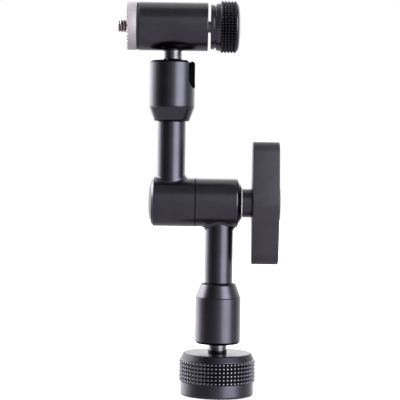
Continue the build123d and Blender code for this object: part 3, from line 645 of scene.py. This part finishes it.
# the upper hub's left end face, round the cap, takes the lighter painted shade
leftSide = leftEnd - hub["leftShoulder"] - leftLength
upperHub = hubShell([
    (hub["bore"], leftEnd - hub["capThickness"], 0),
    (hub["cap"] + fit, leftEnd - hub["capThickness"], 0),
    (hub["cap"] + fit, leftEnd, 0.08),
    (hub["radius"] - leftDepth, leftEnd - hub["leftShoulder"], 0.12),
    (hub["radius"], leftSide, hub["leftRound"]),
    (hub["radius"], leftSide - hub["straight"], 0),
], jointX, -1, -hub["lipReach"], (hub["cap"] + 0.05, hub["radius"] - leftDepth - 0.05, 2))
lowerFillet = rootFillet(0, -1, 1, hub["rightReach"] - rightLength, rightDepth / rightLength)
upperFillet = rootFillet(
    upperX, 1, -1, hub["leftReach"] - hub["leftShoulder"] - leftLength, leftDepth / leftLength
)
# the two darker copies of the finish: painted shade
paintedShadeFinishes = ("blackAnodisedBore", "blackAnodisedCut")
makePiece(
    "lowerArm", [lowerHub, armTube(0, -1), lowerFillet], "lower_arm", "black_anodised", ["lower_arm"],
    creaseAngle=32, more=paintedShadeFinishes,
)
makePiece(
    "upperArm", [upperHub, armTube(upperX, 1), upperFillet], "upper_arm", "black_anodised", ["upper_arm"],
    creaseAngle=32, more=paintedShadeFinishes,
)

# thin washer let into the hub's right end, made pale as a painted highlight along the bevel's inner edge
washerBack = hub["rightReach"] - hub["washer"]
makePiece("hubWasher", [turned(rounded([
    (hub["bore"] + 0.1, hub["rightReach"], 0), (rightFace + 0.1, hub["rightReach"], 0.08),
    (rightFace + 0.1, washerBack, 0.08), (hub["bore"] + 0.1, washerBack, 0),
], steps=3), "x", (0, 0, elbowHeight), columns=192, closed=True)], "lower_arm", "seat_plastic")

# crowned cap in the hub's left end: part of a sphere whose radius follows from its crown
crownRadius = (hub["cap"] ** 2 + hub["capCrown"] ** 2) / (2 * hub["capCrown"])
capSpan = np.linspace(0, hub["cap"] - hub["capEdge"], 16)
capRise = hub["capCrown"] - crownRadius + np.sqrt(crownRadius ** 2 - capSpan ** 2)
capRadius = np.concatenate((capSpan, [hub["cap"] - hub["capEase"], hub["cap"], hub["cap"], 0]))
capHeight = np.concatenate((
    capRise, [-hub["capEase"], -hub["capEdge"], -hub["capThickness"], -hub["capThickness"]],
))
makePiece("elbowEndCap", [
    turned((capRadius, capHeight), "x", (upperX - hub["leftReach"], 0, elbowHeight), -1, columns=160),
], "upper_arm", "black_anodised", ["elbow_end_cap"])

# The thrust collar fills the space between hub and handle.
handle = {
    "thrustStart": 10.55, "thrustRadius": 6.65, "thrustLength": 4.6, "thrustBore": 4.1, "thrustRound": 0.35,
    "thickness": 12.5, "length": 57.2, "middle": 11.0, "tip": 6.5, "edge": 0.6,
    "boss": 8.5, "bossHeight": 0.4, "bossSlope": 0.45,
}
handleStart = handle["thrustStart"] + handle["thrustLength"]
makePiece("thrustCollar", [turned(rounded([
    (handle["thrustBore"], 0, 0), (handle["thrustRadius"], 0, handle["thrustRound"]),
    (handle["thrustRadius"], handle["thrustLength"], handle["thrustRound"]),
    (handle["thrustBore"], handle["thrustLength"], 0),
]), "x", (handle["thrustStart"], 0, elbowHeight), columns=192, closed=True)],
    "handle", "black_anodised", ["thrust_collar"])


def wingHandle():
    # Lozenge: the hull of a large circle and a small one at each end. Each outline point has a
    # normal, and lies on its own circle; moving it inwards shrinks the circle's radius. Rows go from
    # the middle of the inner face, over the rounded edges, to the raised round boss of the outer face.
    away = handle["length"] / 2 - handle["tip"]
    switch = np.arccos((handle["middle"] - handle["tip"]) / away)
    tipSweep = np.linspace(-switch, switch, 41)
    sideSweep = np.linspace(switch, np.pi - switch, 9)
    counts = (len(tipSweep), len(sideSweep)) * 2
    normal = np.concatenate((tipSweep, sideSweep, tipSweep + np.pi, sideSweep + np.pi))
    shift = np.repeat((away, 0, -away, 0), counts)
    size = np.repeat((handle["tip"], handle["middle"]) * 2, counts)
    edge, thick = handle["edge"], handle["thickness"]
    turn = np.linspace(0, np.pi / 2, 7)
    flatEdge = [edge + 0.1]
    inset = np.concatenate((flatEdge, edge * (1 - np.sin(turn)), edge * (1 - np.cos(turn)), flatEdge))
    depth = np.concatenate(([0], edge * (1 - np.cos(turn)), thick - edge * (1 - np.sin(turn)), [thick]))
    reach = size[None, :] - inset[:, None]
    long, short = shift + reach * np.cos(normal), reach * np.sin(normal)
    rows = np.stack((depth[:, None] + 0 * long, short, long), -1)
    way = 2 * np.pi * (np.arange(len(normal)) - len(tipSweep) // 2) / len(normal)
    circle = np.stack((0 * way, np.sin(way), np.cos(way)), -1)
    boss, top, ease = handle["boss"], thick + handle["bossHeight"], 0.04
    ends = np.array([circle * radius + (x, 0, 0) for radius, x in (
        (boss + 0.3, thick), (boss, thick), (boss - 0.1, thick + ease), (boss - 0.32, top - ease),
        (boss - handle["bossSlope"], top), (0, top),
    )])
    start = np.array([circle * 0, circle * (boss + 0.3)])
    grid = np.concatenate((start, rows, ends)) + (handleStart, 0, elbowHeight)
    return grid.reshape(-1, 3), gridFaces(len(grid), len(normal), False, True)


makePiece("wingHandle", [wingHandle()], "handle", "handle_plastic", ["wing_handle"], creaseAngle=35)

# The head is the barrel, the gasket and the toothed ring on its left end, and the captive screw.
head = {
    "radius": 11.3, "left": 15.8, "right": 16.35, "edge": 0.35, "bore": 3.3, "cavity": 5.6,
    "cavityStart": 6.0, "spigotBore": 7.02, "spigotDepth": 3.6,
    "gasket": 10.9, "gasketWidth": 1.0, "gasketRound": 0.15,
    "ring": 11.15, "ringWidth": 3.75, "ringSpigot": 7.0, "ringSpigotLength": 4.6, "ringBore": 3.3,
    "teeth": 36, "perTooth": 16, "toothHeight": 0.75, "toothInner": 6.6, "toothEase": 0.12,
    "studReach": 4.1, "studLead": 0.6, "studRoot": 2.5, "shank": 2.75,
    "clipWaist": 2.3, "clipGroove": (7.1, 8.4), "knobGap": 1.25, "inKnob": 11,
}
headCentre = (upperX, 0, headHeight)
makePiece("headBarrel", [turned(rounded([
    (head["spigotBore"], -head["left"], 0),
    (head["radius"], -head["left"], head["edge"]),
    (head["radius"], head["right"], head["edge"]),
    (head["cavity"], head["right"], 0),
    (head["cavity"], head["cavityStart"], 0),
    (head["bore"], head["cavityStart"], 0),
    (head["bore"], head["spigotDepth"] - head["left"], 0),
    (head["spigotBore"], head["spigotDepth"] - head["left"], 0),
]), "x", headCentre, columns=288, closed=True)], "head", "black_anodised", ["head_barrel"])
gasketEnd = -head["left"] - head["gasketWidth"]
makePiece("ringGasket", [turned(rounded([
    (head["spigotBore"], -head["left"], 0), (head["spigotBore"], gasketEnd, 0),
    (head["gasket"], gasketEnd, head["gasketRound"]), (head["gasket"], -head["left"], head["gasketRound"]),
    (head["spigotBore"], -head["left"], 0),
]), "x", headCentre, columns=192)], "head", "gasket_rubber", ["ring_gasket"])
ringFace = gasketEnd - head["ringWidth"]
ringCrest = ringFace - head["toothHeight"]


def toothRing():
    # Pale ring: its spigot behind, its rim, then V teeth whose depth is the same at every radius.
    # The rows' heights are numbers or, along the teeth, arrays over the angle.
    columns = head["teeth"] * head["perTooth"]
    wave = np.abs(2 * ((np.arange(columns) / head["perTooth"]) % 1) - 1)
    dip = ringCrest + head["toothHeight"] * (1 - wave)
    rim, ease, behindRoot = head["ring"], head["toothEase"], ringFace - 0.02
    spigotEnd = gasketEnd + head["ringSpigotLength"]
    rows = (
        (head["ringBore"], ringFace), (head["ringBore"], spigotEnd), (head["ringSpigot"], spigotEnd),
        (head["ringSpigot"], gasketEnd), (rim - 0.15, gasketEnd), (rim - 0.04, gasketEnd - 0.05),
        (rim, gasketEnd - 0.15), (rim, behindRoot), (rim, np.minimum(dip + ease, behindRoot)),
        (rim - ease, dip), (head["toothInner"], dip), (head["toothInner"], ringFace),
        (head["ringBore"], ringFace),
    )
    radius = np.array([np.full(columns, r) for r, _ in rows])
    height = np.array([h + np.zeros(columns) for _, h in rows])
    return turned((radius, height), "x", headCentre)


makePiece("toothRing", [toothRing()], "head", "grey_aluminium", ["tooth_ring"], creaseAngle=25)

# The screw is the threaded stud and its shank, with a waist for the clip and its end in the knob.
studTip = ringCrest - head["studReach"]
knobStart = head["right"] + head["knobGap"]
shankEnd = knobStart + head["inKnob"]
clipStart, clipEnd = head["clipGroove"]
stud = helix(
    cameraThread["crest"], cameraThread["root"], cameraThread["pitch"], studTip, ringFace - 0.1,
    ([(0, studTip)], [(head["studRoot"], ringFace), (0, ringFace)]), "x", headCentre, lead=head["studLead"],
)
shank = turned(rounded([
    (0, ringFace - 0.05, 0), (head["shank"], ringFace - 0.05, 0.1), (head["shank"], clipStart, 0),
    (head["clipWaist"], clipStart, 0), (head["clipWaist"], clipEnd, 0), (head["shank"], clipEnd, 0),
    (head["shank"], shankEnd, 0), (0, shankEnd, 0),
]), "x", headCentre, columns=96)
# the whole shank, in the narrow gap between barrel and knob, takes the dark steel as painted shade
makePiece(
    "headScrew", [stud, shank + (1,)], "screw", "stud_steel", ["head_screw"], creaseAngle=50,
    more=("blackenedSteel",),
)

# The knob is a flange, a groove, a bevel, the knurled band and a round end with a low dome.
knob = {
    "flange": 10.45, "flangeWidth": 1.7, "groove": 9.9, "grooveWidth": 0.7, "edge": 0.2,
    "bevel": 10.85, "radius": 11.3, "bevelWidth": 2.2, "rows": 5, "count": 52, "pitch": 1.48,
    "tooth": 0.65, "roundDrop": 4.0, "dome": 0.5, "length": 14.0, "bore": 2.77, "boreDepth": 11.0,
}
bevelStart = knob["flangeWidth"] + knob["grooveWidth"]
bandStart = bevelStart + knob["bevelWidth"]
bandEnd = bandStart + knob["rows"] * knob["pitch"]
domeEdge = knob["length"] - knob["dome"]
domeRadius = knob["radius"] - knob["roundDrop"]
quarter = np.linspace(0, np.pi / 2, 20)
roundRadius = domeRadius + knob["roundDrop"] * np.cos(quarter)
roundHeight = bandEnd + (domeEdge - bandEnd) * np.sin(quarter)
domeSphere = (domeRadius ** 2 + knob["dome"] ** 2) / (2 * knob["dome"])
domeSpan = np.linspace(domeRadius, 0, 14)[1:]
domeRise = knob["length"] - domeSphere + np.sqrt(domeSphere ** 2 - domeSpan ** 2)
knobRadius, knobHeight = rounded([
    (0, knob["boreDepth"], 0), (knob["bore"], knob["boreDepth"], 0), (knob["bore"], 0, 0),
    (knob["flange"], 0, 0.25), (knob["flange"], knob["flangeWidth"], knob["edge"]),
    (knob["groove"], knob["flangeWidth"], 0), (knob["groove"], bevelStart, 0),
    (knob["bevel"], bevelStart, knob["edge"]), (knob["radius"], bandStart, 0), (knob["radius"], bandEnd, 0),
])
knobProfile = (
    np.concatenate((knobRadius[:-1], roundRadius, domeSpan)),
    np.concatenate((knobHeight[:-1], roundHeight, domeRise)),
)
knobCentre = (upperX + knobStart, 0, headHeight)
knobBand = knurl(
    knob["rows"], knob["pitch"], knob["count"], knob["radius"] + fit, knob["tooth"], bandStart, "x",
    knobCentre,
)
# the whole knurled band takes painted shade, a darker and duller copy of the finish
makePiece(
    "headKnob", [turned(knobProfile, "x", knobCentre), knobBand[:2] + (1,)], "screw",
    "black_anodised", ["head_knob"], creaseAngle=30, more=("blackAnodisedCut",),
)

# The floor is white paper: a little glow for the camera alone lifts it to white round the shadow.
floor = {"size": 4000.0, "colour": "#e6e6e6", "lift": 0.45}
half = floor["size"] / 2
floorMesh = bpy.data.meshes.new("floor")
floorMesh.from_pydata(
    (np.array([(-half, -half, 0), (half, -half, 0), (half, half, 0), (-half, half, 0)]) * toMetres).tolist(),
    [], [(0, 1, 2, 3)],
)
floorPiece = bpy.data.objects.new("floor", floorMesh)
bpy.context.scene.collection.objects.link(floorPiece)
floorPiece.visible_glossy = False  # the studio below the horizon stands for it in reflections
paper = bpy.data.materials.new("paperSweep")
paper.use_nodes = True
tree = paper.node_tree
tree.nodes.clear()
rays = addNode(tree, "ShaderNodeLightPath")
matt = addNode(tree, "ShaderNodeBsdfDiffuse", {"Color": linearColour(floor["colour"])})
glow = addNode(tree, "ShaderNodeEmission", {"Color": (1, 1, 1, 1)})
lift = addNode(
    tree, "ShaderNodeMath", {"operation": "MULTIPLY", 1: floor["lift"]}, in0=rays.outputs["Is Camera Ray"]
)
tree.links.new(lift.outputs[0], glow.inputs["Strength"])
both = addNode(tree, "ShaderNodeAddShader", None, in0=matt.outputs[0], in1=glow.outputs[0])
out = addNode(tree, "ShaderNodeOutputMaterial")
tree.links.new(both.outputs[0], out.inputs["Surface"])
floorMesh.materials.append(paper)

# The studio is painted on the world by direction: a tall soft light right of the camera, one on the
# left a little behind that is strongest above the horizon, a dim wall behind the object, and dark
# round the camera and overhead. Each ring lists degrees from the camera's side, towards +X, and a
# grey. The light on the right is a little bluer. The camera itself sees plain white.
studio = {
    "strength": 10.0,
    "horizon": [
        (-180, 0.13), (-166, 0.09), (-150, 0.32), (-130, 0.52), (-112, 0.48), (-99, 0.18), (-84, 0.05),
        (-64, 0.006), (12, 0.006), (27, 0.66), (57, 0.68), (70, 0.07), (96, 0.06), (122, 0.16), (150, 0.24),
        (180, 0.13),
    ],
    "above": [
        (-180, 0.2), (-150, 0.26), (-137, 0.5), (-125, 1.7), (-100, 1.7), (-86, 0.05), (-64, 0.004),
        (14, 0.004), (29, 0.84), (57, 0.84), (70, 0.05), (96, 0.06), (122, 0.16), (150, 0.22), (180, 0.2),
    ],
    "over": [(-180, 0.15), (-130, 0.12), (-80, 0.03), (80, 0.03), (130, 0.12), (180, 0.15)],
    "aboveFrom": (8, 18), "overFrom": (34, 46), "rightTint": (0.95, 0.99, 1.04), "tintFrom": 0.4,
    "ground": (0.075, 0.072, 0.079), "groundFrom": (-4, -16),
}
world = bpy.data.worlds.new("studio")
bpy.context.scene.world = world
world.use_nodes = True
tree = world.node_tree
tree.nodes.clear()
way = addNode(tree, "ShaderNodeTexCoord").outputs["Generated"]
parts = addNode(tree, "ShaderNodeSeparateXYZ", None, Vector=way)
back = addNode(tree, "ShaderNodeMath", {"operation": "MULTIPLY", 1: -1.0}, in0=parts.outputs["Y"])
azimuth = addNode(
    tree, "ShaderNodeMath", {"operation": "ARCTAN2"}, in0=parts.outputs["X"], in1=back.outputs[0]
)
azimuthShare = addNode(
    tree, "ShaderNodeMapRange", {"From Min": -np.pi, "From Max": np.pi}, Value=azimuth.outputs[0]
)
elevation = addNode(tree, "ShaderNodeMath", {"operation": "ARCSINE"}, in0=parts.outputs["Z"])


def lightRing(stops):
    # one ring of lights as a colour ramp over the azimuth
    ramp = addNode(tree, "ShaderNodeValToRGB", None, Fac=azimuthShare.outputs["Result"])
    ramp.color_ramp.interpolation = "B_SPLINE"
    for index, (degrees, grey) in enumerate(stops):
        position = (degrees + 180) / 360
        if index in (0, len(stops) - 1):
            stop = ramp.color_ramp.elements[0 if index == 0 else -1]
        else:
            stop = ramp.color_ramp.elements.new(position)
        tint = studio["rightTint"] if degrees >= 0 and grey >= studio["tintFrom"] else (1, 1, 1)
        stop.color = (*(grey * np.array(tint)).tolist(), 1)
    return ramp.outputs["Color"]


def between(low, high, span):
    # low below the span of elevations, high above it, with a soft change between
    share = addNode(
        tree, "ShaderNodeMapRange",
        {"interpolation_type": "SMOOTHSTEP", "From Min": radians(span[0]), "From Max": radians(span[1])},
        Value=elevation.outputs[0],
    )
    mix = addNode(tree, "ShaderNodeMix", {"data_type": "RGBA"})
    tree.links.new(share.outputs["Result"], mix.inputs[0])
    for place, colour in ((6, low), (7, high)):
        if isinstance(colour, tuple):
            mix.inputs[place].default_value = (*colour, 1)
        else:
            tree.links.new(colour, mix.inputs[place])
    return mix.outputs[2]


sky = between(lightRing(studio["horizon"]), lightRing(studio["above"]), studio["aboveFrom"])
sky = between(sky, lightRing(studio["over"]), studio["overFrom"])
sky = between(sky, studio["ground"], studio["groundFrom"])
light = addNode(tree, "ShaderNodeBackground", {"Strength": studio["strength"]})
tree.links.new(sky, light.inputs["Color"])
plain = addNode(tree, "ShaderNodeBackground", {"Color": (1, 1, 1, 1), "Strength": 1.0})
rays = addNode(tree, "ShaderNodeLightPath")
clear = addNode(
    tree, "ShaderNodeMath", {"operation": "MAXIMUM"}, in0=rays.outputs["Is Camera Ray"],
    in1=rays.outputs["Is Transmission Ray"],
)
choice = addNode(tree, "ShaderNodeMixShader")
tree.links.new(clear.outputs[0], choice.inputs[0])
tree.links.new(light.outputs[0], choice.inputs[1])
tree.links.new(plain.outputs[0], choice.inputs[2])
out = addNode(tree, "ShaderNodeOutputWorld")
tree.links.new(choice.outputs[0], out.inputs["Surface"])

# The camera stands where the photograph's did: far off, a little above the elbow and looking slightly
# down. Its angles are in degrees.
view = {
    "place": (-11.8, -678.8, 109.55), "lens": 130.65, "sensor": 36.0, "pitch": 1.545, "yaw": 0.223,
    "roll": 0.85, "shift": (0.0, -0.001), "farthest": 20000,
}
cameraData = bpy.data.cameras.new("camera")
cameraData.lens = view["lens"]
cameraData.sensor_width = view["sensor"]
cameraData.shift_x, cameraData.shift_y = view["shift"]
cameraData.clip_end = view["farthest"] * toMetres
camera = bpy.data.objects.new("camera", cameraData)
bpy.context.scene.collection.objects.link(camera)
camera.location = np.array(view["place"]) * toMetres
aim = Euler((radians(90 - view["pitch"]), 0, -radians(view["yaw"])), "XYZ").to_matrix()
camera.rotation_euler = (aim @ Euler((0, 0, radians(view["roll"])), "XYZ").to_matrix()).to_euler()
bpy.context.scene.camera = camera
bpy.context.scene.view_settings.view_transform = "Standard"
print("stage, light and camera set")
